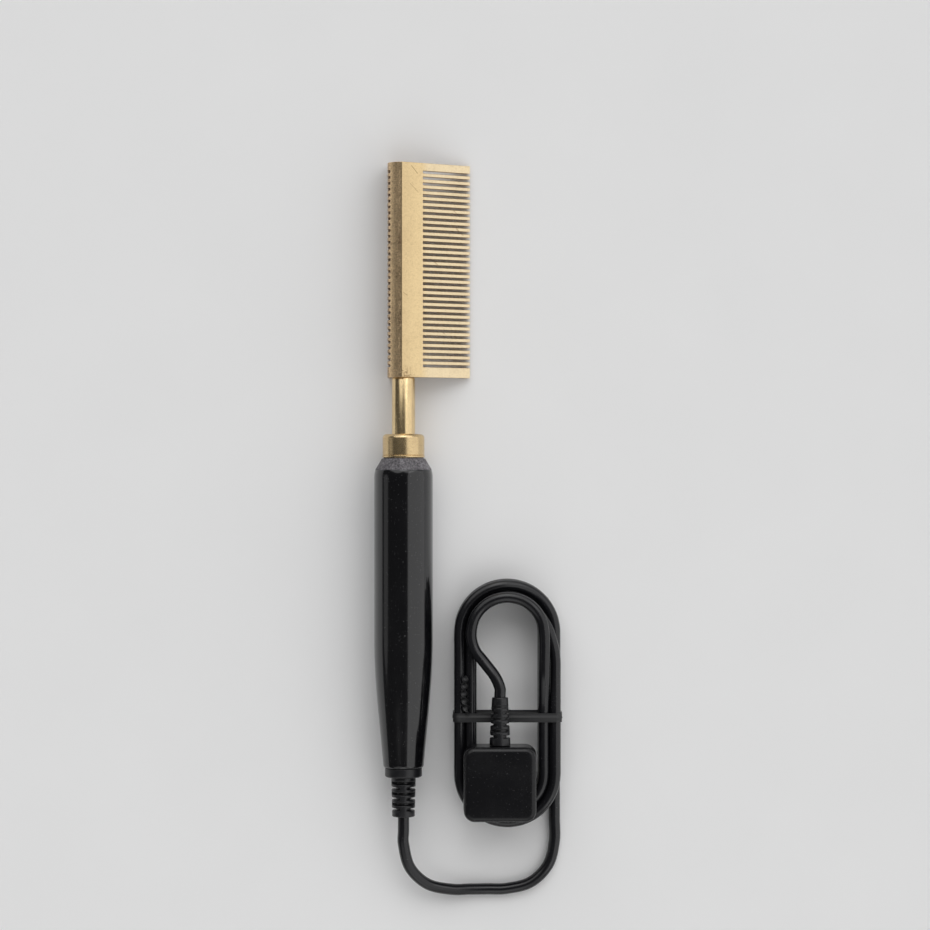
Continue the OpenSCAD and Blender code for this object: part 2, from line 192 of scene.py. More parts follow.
def quads(rows, columns, wrap_rows=True):
    """Corner numbers of a grid's quads. Columns always close into rings; rows close if wrap_rows."""
    row = np.arange(rows if wrap_rows else rows - 1)[:, None]
    column = np.arange(columns)[None, :]
    here, below = row * columns, (row + 1) % rows * columns
    beside = (column + 1) % columns
    corners = np.broadcast_arrays(here + column, here + beside, below + beside, below + column)
    return np.stack(corners, axis=-1).reshape(-1, 4).tolist()


def capped(rows, columns):
    """The quads of a tube of rings, and a flat polygon on each end."""
    first = list(range(columns))
    last = list(range((rows - 1) * columns, rows * columns))
    return quads(rows, columns, False) + [first[::-1], last]


def along(path, offsets_side, offsets_up):
    """Carries a cross-section along a path that is never upright.

    At each point the tangent t gives side = t x z and up = side x t, both made unit vectors, and a
    point of the section lies at path + side * its first offset + up * its second.
    """
    tangent = unit(np.gradient(path, axis=0))
    side = unit(np.cross(tangent, [0, 0, 1]))
    up = np.cross(side, tangent)
    return path[:, None] + side[:, None] * offsets_side[..., None] + up[:, None] * offsets_up[..., None]


def curve(points, step):
    """A Catmull-Rom curve through points, taken about every step of its length, and its length.

    Between p1 and p2 it is (2 p1 + (p2 - p0) t + (2 p0 - 5 p1 + 4 p2 - p3) t^2
    + (3 p1 - p0 - 3 p2 + p3) t^3) / 2 for t from 0 to 1.
    """
    points = np.asarray(points, float)
    ends = np.concatenate([[2 * points[0] - points[1]], points, [2 * points[-1] - points[-2]]])
    p0, p1, p2, p3 = (ends[k:len(ends) - 3 + k, None] for k in range(4))
    t = np.linspace(0, 1, 24, endpoint=False)[None, :, None]
    fine = (2 * p1 + (p2 - p0) * t + (2 * p0 - 5 * p1 + 4 * p2 - p3) * t**2
            + (3 * p1 - p0 - 3 * p2 + p3) * t**3) / 2
    fine = np.concatenate([fine.reshape(-1, 3), points[-1:]])
    length = np.concatenate([[0], np.cumsum(np.linalg.norm(np.diff(fine, axis=0), axis=1))])
    at = np.linspace(0, length[-1], int(round(length[-1] / step)) + 1)
    return np.stack([np.interp(at, length, fine[:, k]) for k in range(3)], axis=-1), length[-1]


def piece(name, body, finish, points, faces, nodes=(), crease=35.0):
    """A mesh piece from points in millimetres, its faces turned outwards, riding and finished.

    The sum of a . (b x c) over its triangles is six times its volume, so below zero it is inside
    out. Edges sharper than crease degrees stay sharp.
    """
    flat = points.reshape(-1, 3) * 0.001
    mesh = bpy.data.meshes.new(name)
    mesh.from_pydata(flat.tolist(), [], faces)
    mesh.calc_loop_triangles()
    corners = np.empty(3 * len(mesh.loop_triangles), np.int32)
    mesh.loop_triangles.foreach_get("vertices", corners)
    a, b, c = (flat[corners[k::3]] for k in range(3))
    if np.sum(a * np.cross(b, c)) < 0:
        mesh.flip_normals()
    mesh.shade_smooth()
    mesh.set_sharp_from_angle(angle=np.radians(crease))
    made = bpy.data.objects.new(name, mesh)
    bpy.context.scene.collection.objects.link(made)
    mesh.materials.append(finish)
    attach(made, body)
    if nodes:
        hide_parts(*nodes)
    return made


def turned(name, body, finish, outline, node, turns=128):
    """A piece turned about the comb's axis from a closed outline of (station, radius).

    Its points lie at x = radius cos a and y = radius sin a, for a all the way round.
    """
    station, radius = outline[:, :1], outline[:, 1:]
    angle = around(turns)
    points = on_axis(radius * np.cos(angle), radius * np.sin(angle), station)
    return piece(name, body, finish, points, quads(len(outline), turns), (node,))


# ---- camera, straight above and looking down ----

camera_data = bpy.data.cameras.new("camera")
camera_data.lens = 100.06
camera_data.sensor_width = 36.0
camera = bpy.data.objects.new("camera", camera_data)
camera.location = (0.01886, 0.0109, 1.1499)
bpy.context.scene.collection.objects.link(camera)
bpy.context.scene.camera = camera


# ---- shader maths ----

class Socket:
    """An output of a shader node. Arithmetic on it adds Math nodes."""

    def __init__(self, shader, output):
        self.shader = shader
        self.output = output

    def math(self, operation, *values):
        """Adds a Math node that works on the given values."""
        return self.shader.node("Math", {"operation": operation}, dict(enumerate(values)))

    def __add__(self, other):
        return self.math("ADD", self, other)

    def __radd__(self, other):
        return self.math("ADD", other, self)

    def __sub__(self, other):
        return self.math("SUBTRACT", self, other)

    def __rsub__(self, other):
        return self.math("SUBTRACT", other, self)

    def __mul__(self, other):
        return self.math("MULTIPLY", self, other)

    def __rmul__(self, other):
        return self.math("MULTIPLY", other, self)

    def __abs__(self):
        return self.math("ABSOLUTE", self)

    def ramp(self, low, high, start=0.0, end=1.0):
        """Goes smoothly from start to end while this goes from low to high."""
        values = {0: self, 1: low, 2: high, 3: start, 4: end}
        return self.shader.node("MapRange", {"interpolation_type": "SMOOTHSTEP"}, values)


class Shader:
    """A material with one Principled shader, and one method that adds any other node."""

    def __init__(self, name, **constants):
        self.material = bpy.data.materials.new(name)
        self.material.use_nodes = True
        self.tree = self.material.node_tree
        self.surface = self.tree.nodes["Principled BSDF"]
        self.set(**constants)
        self.place = self.node("TexCoord", output="Object")

    def set(self, **values):
        """Sets or links sockets of the Principled shader; an underscore stands for a space."""
        for key, value in values.items():
            self.feed(self.surface, key.replace("_", " "), value)

    def feed(self, node, key, value):
        """Links a socket's value to a node's input, or sets the input to a plain value."""
        if isinstance(value, Socket):
            self.tree.links.new(value.output, node.inputs[key])
        else:
            node.inputs[key].default_value = value

    def node(self, kind, settings=None, values=None, output=0):
        """Adds a node: its settings first, then the values or links of its sockets."""
        made = self.tree.nodes.new("ShaderNode" + kind)
        for key, value in (settings or {}).items():
            setattr(made, key, value)
        for key, value in (values or {}).items():
            self.feed(made, key, value)
        return Socket(self, made.outputs[output])

    def millimetres(self, centre=(0, 0, 0), stretch=(1, 1, 1)):
        """Object coordinates in millimetres from a centre, each multiplied by its stretch."""
        start = [0.001 * c for c in centre]
        centred = self.node("VectorMath", {"operation": "SUBTRACT"}, {0: self.place, 1: start})
        return self.node("Mapping", {}, {"Vector": centred, "Scale": [1000.0 * k for k in stretch]})

    def dot(self, place, direction):
        """How far a place lies along a direction."""
        values = {0: place, 1: tuple(direction)}
        return self.node("VectorMath", {"operation": "DOT_PRODUCT"}, values, output=1)

    def noise(self, place, scale, detail=2.0, roughness=0.5):
        """Cloudy noise from 0 to 1, with about scale clouds in a millimetre."""
        values = {"Vector": place, "Scale": scale, "Detail": detail, "Roughness": roughness}
        return self.node("TexNoise", {}, values)

    def blend(self, share, a, b):
        """Mixes two colours: a where share is 0, b where it is 1."""
        a, b = ((*colour, 1.0) if isinstance(colour, tuple) else colour for colour in (a, b))
        return self.node("Mix", {"data_type": "RGBA"}, {0: share, 6: a, 7: b}, output=2)

    def bump(self, height, depth_mm):
        """A bump that is depth_mm high where height is 1."""
        return self.node("Bump", {}, {"Height": height, "Strength": 1.0, "Distance": 0.001 * depth_mm})


# ---- finishes ----

BRASS = (0.86, 0.66, 0.365)
# A paler brass for the painted highlight on the teeth: colour that stands in for light
HIGHLIGHT_BRASS = (0.94, 0.80, 0.56)
TARNISH = (0.36, 0.24, 0.13)
CAST_BRASS = (0.88, 0.65, 0.38)
OXIDE = (0.28, 0.182, 0.107)

# Straight scratches on the front face: start and end as (down the face, station), and width
SCRATCHES = [
    ((0.2, 1.0), (4.2, 5.2), 0.20),
    ((-0.6, 8.8), (4.4, 13.2), 0.12),
    ((23.2, 27.7), (27.6, 31.4), 0.24),
    ((10.0, 41.6), (15.6, 45.7), 0.20),
    ((20.5, 18.6), (26.0, 23.4), 0.15),
    ((-3.6, 57.0), (-1.2, 58.6), 0.15),
    ((14.0, 73.0), (18.5, 75.2), 0.15),
]


def on_face(down, station):
    """A point of the head's front face, relative to the axis at the head's end."""
    return FACE_DIST * FACE_NORMAL + down * FACE_DOWN - station * np.array([0.0, 1.0, 0.0])


def scratch(s, place, start, end, width):
    """A straight mark on the front face: 1 on its line, 0 beyond its width and its ends.

    The distance across the line and the one ahead from its middle are dot products with unit
    vectors in the face, less what they are at the mark's own start and middle.
    """
    ahead = (end - start) / np.linalg.norm(end - start)
    across = np.cross(FACE_NORMAL, ahead)
    reach = 0.5 * np.linalg.norm(end - start)
    off_line = abs(s.dot(place, across) - float(np.dot(start, across)))
    off_middle = abs(s.dot(place, ahead) - float(np.dot(start, ahead)) - reach)
    return off_line.ramp(0.3 * width, width, 1.0, 0.0) * off_middle.ramp(0.6 * reach, reach, 1.0, 0.0)


def head_finish():
    """The head's brass: a machined satin face with scratches, and round it a mottled cast skin.

    Across the face the brass goes from darker beside the spine to a painted highlight on the teeth,
    a paler brass there, and heat has stained it beside the neck. The skin has flecks of oxide and
    raised grains, fainter away from the spine's upper side, and a painted highlight along its ridge.
    """
    s = Shader("head_brass", Metallic=1.0)
    mm = s.millimetres(AXIS)
    down = s.dot(mm, FACE_DOWN)
    station = s.dot(mm, (0.0, -1.0, 0.0))
    face = s.dot(mm, FACE_NORMAL).ramp(FACE_DIST - 0.4, FACE_DIST - 0.1)
    # Painted highlight: a narrow band along the spine's ridge where the skin is painted lighter
    painted_ridge_highlight = s.dot(mm, RIDGE).ramp(6.0, 6.9)
    upper = s.dot(mm, RIDGE).ramp(4.4, 5.8, 0.5, 1.0)
    # Painted highlight: the face is painted paler on the teeth, from 5 to 10 mm down it
    teeth = down.ramp(5.0, 10.0)
    # The face is darker beside the spine, fading out 4 mm down it
    darker_by_spine = down.ramp(-4.0, 4.0, 0.15, 0.0)
    heat = station.ramp(88.0, 93.0) * down.ramp(-1.0, 3.5, 1.0, 0.0)
    cloud = s.noise(mm, 0.10, 3.0, 0.6).ramp(0.42, 0.70)
    grain = s.noise(mm, 2.4, 4.0, 0.7)
    fleck = s.noise(mm, 1.0, 4.0, 0.75).ramp(0.46, 0.68)
    bead = s.noise(mm, 2.1, 2.0, 0.6).ramp(0.54, 0.66)
    stain = heat * s.noise(mm, 0.9, 4.0, 0.75).ramp(0.47, 0.60)
    marks = face * sum(scratch(s, mm, on_face(*a), on_face(*b), width) for a, b, width in SCRATCHES)
    worn = darker_by_spine + 0.08 * cloud + 0.85 * (grain - 0.42) + 0.18 * fleck + 0.75 * stain + 0.85 * marks
    # The face's brass, painted paler on the teeth as a painted highlight
    satin = s.blend(worn, s.blend(0.62 * teeth, BRASS, HIGHLIGHT_BRASS), TARNISH)
    mottle = 0.55 * fleck + 0.85 * (grain - 0.45) - 0.35 * bead
    # The skin is painted lighter along the ridge, a painted highlight, and mottled with oxide elsewhere
    skin = s.blend(0.47 - 0.45 * painted_ridge_highlight + 0.25 * cloud + upper * mottle, CAST_BRASS, OXIDE)
    cast = upper * (1.3 * grain + 1.3 * fleck + 1.8 * bead)
    height = 0.25 * grain * face + cast * (1.0 - face) - 0.8 * marks
    s.set(Base_Color=s.blend(face, skin, satin))
    s.set(Roughness=0.30 + 0.10 * fleck * (1.15 - face) + 0.15 * stain)
    s.set(Normal=s.bump(height, 0.020))
    return s.material


def turned_brass(name, streak, roughness, tarnish):
    """Tarnished brass with flecks, and drawn or turned marks from a noise stretched along them."""
    s = Shader(name, Metallic=1.0)
    mm = s.millimetres(AXIS)
    cloud = s.noise(mm, 0.16, 3.0, 0.6).ramp(0.42, 0.70)
    fleck = s.noise(mm, 1.4, 4.0, 0.75).ramp(0.50, 0.70)
    grain = s.noise(mm, 2.6, 3.0, 0.7)
    line = s.noise(s.millimetres(AXIS, streak), 1.0, 3.0, 0.65)
    worn = tarnish + 0.16 * cloud + 0.22 * fleck + 0.35 * (line - 0.45) + 0.25 * (grain - 0.5)
    s.set(Base_Color=s.blend(worn, BRASS, TARNISH))
    s.set(Roughness=roughness + 0.10 * (line - 0.5) + 0.08 * fleck)
    s.set(Normal=s.bump(0.7 * line + 0.15 * grain - 0.2 * fleck, 0.005))
    return s.material


def plastic(name, colour, roughness, grain_mm, grain_scale, dust, **constants):
    """Moulded black plastic: a fine grain in its surface, faint rubbed patches and a little dust.

    The constants are set on its shader as they are, such as the weight of a coat of lacquer.
    """
    s = Shader(name, **constants)
    mm = s.millimetres(AXIS)
    rubbed = s.noise(mm, 0.07, 3.0, 0.6).ramp(0.4, 0.7)
    grain = s.noise(mm, grain_scale, 3.0, 0.65)
    mote = s.noise(mm, 1.9, 1.0, 0.3).ramp(0.735, 0.765)
    pale = tuple(4.0 * c + 0.16 for c in colour)
    s.set(Base_Color=s.blend(dust * mote + 0.006 * rubbed, colour, pale))
    s.set(Roughness=roughness + 0.05 * rubbed + 0.25 * dust * mote + 0.06 * (grain - 0.5))
    s.set(Normal=s.bump(grain, grain_mm))
    return s.material


def grit(name, dark, light):
    """Rough moulding with open grit that catches the light."""
    s = Shader(name)
    mm = s.millimetres(AXIS)
    coarse = s.noise(mm, 1.3, 4.0, 0.8)
    rub = s.noise(mm, 0.35, 2.0, 0.5).ramp(0.4, 0.65)
    s.set(Base_Color=s.blend(0.3 * rub + 0.7 * coarse.ramp(0.40, 0.62), dark, light))
    s.set(Roughness=0.6 - 0.15 * rub, Normal=s.bump(coarse, 0.18))
    return s.material


def two_tone(name, colour, shade, metallic, roughness, scale, grain_mm, stretch=(1, 1, 1)):
    """A finish for pieces that keep their CAD shape: two tones of a colour in a raised grain."""
    s = Shader(name, Metallic=metallic)
    grain = s.noise(s.millimetres(AXIS, stretch), scale, 4.0, 0.6)
    s.set(Base_Color=s.blend(grain.ramp(0.35, 0.65), colour, shade))
    s.set(Roughness=roughness + 0.12 * (grain - 0.5), Normal=s.bump(grain, grain_mm))
    return s.material


def black(value, blue):
    """A near black of this value in red and green, and a little more blue."""
    return value, value, blue


head_brass = head_finish()
tube_brass = turned_brass("tube_brass", streak=(2.4, 0.22, 2.4), roughness=0.20, tarnish=0.03)
collar_brass = turned_brass("collar_brass", streak=(0.3, 2.6, 0.3), roughness=0.26, tarnish=0.27)
grip_black = plastic("grip_black", black(0.0028, 0.0036), roughness=0.14, grain_mm=0.0012, grain_scale=1.2,
                     dust=0.45, Coat_Weight=0.4, Coat_Roughness=0.08)
shoulder_grit = grit("shoulder_grit", dark=(0.030, 0.028, 0.032), light=(0.240, 0.226, 0.244))
swivel_black = plastic("swivel_black", black(0.0065, 0.0080), roughness=0.34, grain_mm=0.005, grain_scale=2.0,
                       dust=0.2)
sleeve_black = plastic("sleeve_black", black(0.0055, 0.0070), roughness=0.32, grain_mm=0.005, grain_scale=1.6,
                       dust=0.3)
cord_black = plastic("cord_black", black(0.0055, 0.0070), roughness=0.22, grain_mm=0.005, grain_scale=0.9,
                     dust=0.2)
plug_black = plastic("plug_black", black(0.0055, 0.0065), roughness=0.24, grain_mm=0.003, grain_scale=2.4,
                     dust=0.28, IOR=1.38)
tie_black = plastic("tie_black", black(0.012, 0.013), roughness=0.45, grain_mm=0.010, grain_scale=2.0,
                    dust=0.1)
mica = two_tone("mica", (0.62, 0.47, 0.25), (0.42, 0.30, 0.14), metallic=0.0, roughness=0.5, scale=0.5,
                grain_mm=0.02, stretch=(1, 0.2, 1))
alloy = two_tone("alloy", (0.80, 0.80, 0.82), (0.62, 0.62, 0.65), metallic=1.0, roughness=0.35, scale=1.0,
                 grain_mm=0.01, stretch=(1, 0.05, 1))
steel = two_tone("steel", (0.62, 0.62, 0.63), (0.45, 0.45, 0.47), metallic=1.0, roughness=0.30, scale=1.5,
                 grain_mm=0.006)
ceramic = two_tone("ceramic", (0.84, 0.82, 0.76), (0.72, 0.69, 0.62), metallic=0.0, roughness=0.7, scale=1.8,
                   grain_mm=0.02)
copper = two_tone("copper", (0.80, 0.48, 0.32), (0.55, 0.30, 0.18), metallic=1.0, roughness=0.35, scale=1.2,
                  grain_mm=0.008, stretch=(1, 0.2, 1))
glass_braid = two_tone("glass_braid", (0.80, 0.78, 0.70), (0.60, 0.57, 0.48), metallic=0.0, roughness=0.85,
                       scale=2.5, grain_mm=0.06)
wire_jacket = two_tone("wire_jacket", (0.34, 0.05, 0.03), (0.22, 0.03, 0.02), metallic=0.0, roughness=0.4,
                       scale=0.8, grain_mm=0.01)
blade_nickel = two_tone("blade_nickel", (0.78, 0.74, 0.66), (0.60, 0.56, 0.48), metallic=1.0, roughness=0.28,
                        scale=1.0, grain_mm=0.006, stretch=(1, 1, 0.1))

# The finish of each material slot
finishes = {
    "brass": head_brass,
    "insulation": mica,
    "alloy": alloy,
    "steel": steel,
    "ceramic": ceramic,
    "shoulder_plastic": shoulder_grit,
    "handle_plastic": grip_black,
    "copper": copper,
    "sleeving": glass_braid,
    "wire_jacket": wire_jacket,
    "swivel_plastic": swivel_black,
    "relief_rubber": sleeve_black,
    "cord_jacket": cord_black,
    "tie_plastic": tie_black,
    "plug_plastic": plug_black,
    "blade_brass": blade_nickel,
}


# ---- cord ----

def hank_turns(q):
    """Centreline of the wound cord, q turns after the lead joins it.

    A turn goes up the right run, round the top, down the left run and round the bottom, a quarter
    each. The radius is 16 + 5 C and the height 2.5 + 5 L. At q = 0.65, 1.55, 2.45 and so on, nine
    tenths of a turn apart, the cord steps by turns to the other column, so that C goes from 1 to
    0 or back, and up to the next layer, so that L grows by 1.
    """
    def step(j):
        return smooth((q - FIRST_STEP - STEP_EVERY * j) / STEP_LEN + 0.5)
    r = HANK_R + CORD_D * (1 - step(0) + step(2) - step(4))
    z = CORD_D * (0.5 + step(1) + step(3) + step(5))
    lap = 4 * (q % 1)
    run = HANK_RUN * (2 * (lap % 1) - 1)
    bend = np.pi * (lap % 1)
    quarter = [lap < 1, lap < 2, lap < 3, lap < 4]
    x = np.select(quarter, [r, r * np.cos(bend), -r, -r * np.cos(bend)])
    y = np.select(quarter, [run, HANK_RUN + r * np.sin(bend), -run, -HANK_RUN - r * np.sin(bend)])
    return np.stack([HANK[0] + x, HANK[1] + y, z], axis=-1)


LEAD = [
    (-8.1946, -143.6, 12.9), (-8.2, -150, 12.9), (-8.2, -156, 12.5), (-5.4, -166.5, 10.8),
    (2.3, -174.2, 7.8), (12.8, -177, 4.9), (21, -177.2, 3.3), (29, -177.2, 2.6),
    (37.5, -177, 2.5), (48, -174.2, 2.5), (55.7, -166.5, 2.5), (58.5, -156, 2.5),
    (58.5, -146, 2.5), (58.5, -136, 2.5),
]
TAIL = [
    (53.5, -63, 17.5), (51.4, -55, 17.5), (45.5, -49.1, 17.5), (37.5, -47, 17.5),
    (29.5, -49.1, 17.5), (23.6, -55, 17.5), (21.5, -63, 17.6), (23, -69.8, 18.2),
    (27.1, -75.2, 19.5), (31.8, -81.2, 21.5), (34.1, -86.5, 22.4), (34.1, -90.4, 22.5),
    (34.1, -111, 22.5),
]


def cord_route():
    """The lead, the turns of the hank and the tail as one curve, and its length.

    Where the hank's lower layers cross the tie, they rise over it by 2 h exp(-(d / 7)^2), where d
    is the distance along Y from the tie and h half its thickness over the wire.
    """
    turns = hank_turns(np.arange(0, HANK_TURNS, 0.02))
    path, length = curve(np.concatenate([LEAD, turns, TAIL]), CORD_STEP)
    on_hank = (path[:, 0] > 10) & (path[:, 2] < 17)
    path[:, 2] += 2 * WIRE_HALF * np.exp(-(((path[:, 1] - TIE_Y) / 7) ** 2)) * on_hank
    return path, length


route, cord_length = cord_route()
circle = around(20)
ring_side = np.broadcast_to(0.5 * CORD_D * np.cos(circle), (len(route), len(circle)))
ring_up = np.broadcast_to(0.5 * CORD_D * np.sin(circle), (len(route), len(circle)))
mains_cord = piece(
    "mains_cord", "comb", cord_black,
    along(route, ring_side, ring_up), capped(len(route), len(circle)),
    ("cord_lead", "cord_hank", "cord_tail"),
)


# ---- head ----

def head_sections():
    """The points (x, y) of the head's cross-sections, and two rings and two walls of their numbers.

    Through a tooth, the outline runs along the front face, round a long tooth, round the back of
    the spine, down and up a short tooth and over the spine again. Through a gap it leaves both
    teeth out, at the roots. The front face lies FACE_DIST from the axis, n = (sin, cos) of the
    tilt is its normal and u = (cos, -sin) points down it to the tips. Arcs have the spine's
    radius. The walls are what a gap cuts off a tooth's section, on the long and the short side.
    """
    n = np.array([np.sin(FACE_TILT), np.cos(FACE_TILT)])
    u = np.array([np.cos(FACE_TILT), -np.sin(FACE_TILT)])
    back = FACE_DIST - PLATE
    inside = PLATE - SPINE_R

    def arc(start, end, count):
        turn = np.linspace(start, end, count)
        return SPINE_R * np.stack([np.cos(turn), np.sin(turn)], axis=-1)

    upright = np.pi / 2 - FACE_TILT
    top = upright + np.arccos(FACE_DIST / SPINE_R)
    low = upright - np.arccos(back / SPINE_R)
    left_low = -np.arccos(inside / SPINE_R)
    notch = np.arccos((inside - PLATE + NOTCH) / SPINE_R)
    face = np.array([
        n * FACE_DIST + u * LONG_ROOT, n * FACE_DIST + u * LONG_TIP,
        n * back + u * LONG_TIP, n * back + u * LONG_ROOT,
    ])
    under = arc(low, left_low, 26)
    short = np.array([(inside, -AXIS[2]), (-SPINE_R, -AXIS[2])])
    side = arc(np.pi, notch, 8)
    over = arc(notch, top, 14)[1:]
    roots = np.array([(inside, -SHORT_ROOT), (inside - PLATE + NOTCH, -SHORT_ROOT)])
    parts = [face, under, short, side, over, roots]
    starts = np.cumsum([0] + [len(p) for p in parts])
    face_i, under_i, short_i, side_i, over_i, roots_i = (
        list(range(a, b)) for a, b in zip(starts[:-1], starts[1:]))
    tooth = face_i + under_i + short_i + side_i + over_i
    gap = [face_i[0], face_i[3]] + under_i + roots_i + [side_i[-1]] + over_i
    long_wall = face_i
    short_wall = [under_i[-1]] + short_i + side_i + roots_i[::-1]
    return np.concatenate(parts), tooth, gap, long_wall, short_wall


def comb_head():
    """The cast head: its two cross-sections carried along the comb by turns, with walls between.

    The stations are the head's ends and both sides of every gap. Strips of quads join the rings
    of neighbouring stations, the parts of a tooth that a gap leaves out close it as flat walls,
    and whole tooth sections close the ends. The edges are then rounded.
    """
    section, tooth, gap, long_wall, short_wall = head_sections()
    middle = FIRST_GAP + GAP_PITCH * np.arange(GAPS)
    sides = np.sort(np.concatenate([middle - GAP_W / 2, middle + GAP_W / 2]))
    station = np.concatenate([[0], sides, [HEAD_LEN]])
    size = len(section)
    last = len(station) - 1
    points = on_axis(section[None, :, 0], section[None, :, 1], station[:, None])

    def strips(ring, first):
        ring = np.array(ring)
        start = (np.arange(first, last, 2) * size)[:, None]
        after = np.roll(ring, -1)
        cells = np.broadcast_arrays(start + ring, start + after, start + size + after, start + size + ring)
        return np.stack(cells, axis=-1).reshape(-1, 4).tolist()

    faces = strips(tooth, 0) + strips(gap, 1)
    for j in range(1, last):
        for wall in (long_wall, short_wall):
            faces.append(j * size + np.array(wall[::-1] if j % 2 == 0 else wall))
    faces.append(tooth[::-1])
    faces.append(last * size + np.array(tooth))
    used = np.unique(np.concatenate([np.array(f) for f in faces]))
    renumber = np.zeros(len(station) * size, int)
    renumber[used] = np.arange(len(used))
    faces = [renumber[np.array(f)].tolist() for f in faces]
    made = piece(
        "comb_head", "comb", head_brass, points.reshape(-1, 3)[used], faces,
        ("comb_spine", "long_tooth_row", "short_tooth_row"), crease=180.0,
    )
    edge = made.modifiers.new("edge", "BEVEL")
    edge.width = 0.001 * EDGE_ROUND
    edge.segments = 3
    edge.limit_method = "ANGLE"
    edge.angle_limit = np.radians(32)
    edge.harden_normals = True
    made.modifiers.new("join", "WELD").merge_threshold = 0.001 * SAME_POINT


comb_head()


# ---- neck and handle: outlines of (station, radius) ----

tube_outline = soften([
    (SPIGOT_AT, SPIGOT_BORE_R), (SPIGOT_AT, SPIGOT_R), (HEAD_LEN, SPIGOT_R), (HEAD_LEN, TUBE_GROOVE_R),
    (HEAD_LEN + TUBE_GROOVE_W, TUBE_GROOVE_R), (HEAD_LEN + TUBE_GROOVE_W, TUBE_R),
    (SHANK_END, TUBE_R), (SHANK_END, TUBE_BORE_R), (BORE_STEP_AT, TUBE_BORE_R), (BORE_STEP_AT, SPIGOT_BORE_R),
], 0.06, 2)
turned("neck_tube", "comb", tube_brass, tube_outline, "shank_tube")

collar_outline = soften([
    (COLLAR_AT, TUBE_R), (COLLAR_AT, COLLAR_R), (HANDLE_AT - LIP_LEN - LIP_GROOVE_LEN, COLLAR_R),
    (HANDLE_AT - LIP_LEN - LIP_GROOVE_LEN / 2, LIP_GROOVE_R), (HANDLE_AT - LIP_LEN, LIP_R),
    (HANDLE_AT, LIP_R - 0.03), (HANDLE_AT, SKIRT_R),
    (HANDLE_AT + SKIRT_LEN, SKIRT_R), (HANDLE_AT + SKIRT_LEN, TUBE_R),
], [0.1, 1.8, 0.08, 0.04, 0.2, 0.25, 0.1, 0.1, 0.1], 8)
turned("neck_collar", "comb", collar_brass, collar_outline, "collar")

shoulder_outline = soften([
    (HANDLE_AT, SKIRT_R), (HANDLE_AT, RECESS_R),
    (HANDLE_AT + RECESS, RECESS_R), (HANDLE_AT + RECESS, SHOULDER_R),
    (SHELL_AT, GRIP_START_R), (SHELL_AT, PILOT_R),
    (SHELL_AT + PILOT_LEN, PILOT_R), (SHELL_AT + PILOT_LEN, TUBE_R),
    (HANDLE_AT + SKIRT_LEN, TUBE_R), (HANDLE_AT + SKIRT_LEN, SKIRT_R),
], [0.1, 0.1, 0.1, 0.15, 0.2, 0.1, 0.1, 0.1, 0.1, 0.1], 4)
turned("grip_shoulder", "comb", shoulder_grit, shoulder_outline, "shoulder_ring")


def grip_outline():
    """Outline of the grip: a swelling start, a straight middle, and the taper to the cord's end.

    The start grows from 12.5 to 12.9 by 1 - (1 - t)^2, and the taper shrinks from 12.9 to 8.97 by
    1.85 t^2 - 0.85 t^3. The rim is a quarter ellipse, 1.4 long and 0.75 deep, and the inside is
    the CAD's cavity.
    """
    t = np.linspace(0, 1, 9)
    swell = (GRIP_R - GRIP_START_R) * (1 - (1 - t) ** 2)
    start = np.stack([SHELL_AT + SEAM + SWELL_LEN * t, GRIP_START_R + swell], axis=-1)
    t = np.linspace(0, 1, 41)
    shrink = (GRIP_R - GRIP_TAIL_R) * (1.85 * t**2 - 0.85 * t**3)
    taper = np.stack([HANDLE_END - TAPER_LEN + (TAPER_LEN - RIM) * t, GRIP_R - shrink], axis=-1)
    t = np.linspace(0, 0.5 * np.pi, 7)[1:]
    rim = np.stack([HANDLE_END - RIM + RIM * np.sin(t), GRIP_TAIL_R - RIM_DEPTH * (1 - np.cos(t))], axis=-1)
    cavity = [
        (HANDLE_END, SOCKET_R), (HANDLE_END - SOCKET_LEN, SOCKET_R), (HANDLE_END - HOLLOW_LEN, PILOT_R),
        (SHELL_AT, PILOT_R + 0.05), (SHELL_AT, GRIP_START_R - 0.1),
    ]
    return np.concatenate([start, taper, rim, cavity])


turned("grip_shell", "comb", grip_black, grip_outline(), "handle_shell", turns=160)


# ---- swivel ----

cap_outline = soften([
    (HANDLE_END - CAP_NECK_LEN, CAP_BORE_R), (HANDLE_END - CAP_NECK_LEN, CAP_NECK_R),
    (HANDLE_END + SEAM, CAP_NECK_R), (HANDLE_END + SEAM, CAP_R),
    (CAP_END, CAP_R), (CAP_END, CAP_BORE_R + 0.2),
    (HANDLE_END + CAP_STEP, CAP_BORE_R + 0.2), (HANDLE_END + CAP_STEP, CAP_BORE_R - 0.02),
], [0.05, 0.1, 0.1, 0.35, 0.8, 0.1, 0.08, 0.08], 5)
turned("cord_cap", "swivel", swivel_black, cap_outline, "swivel_cap")


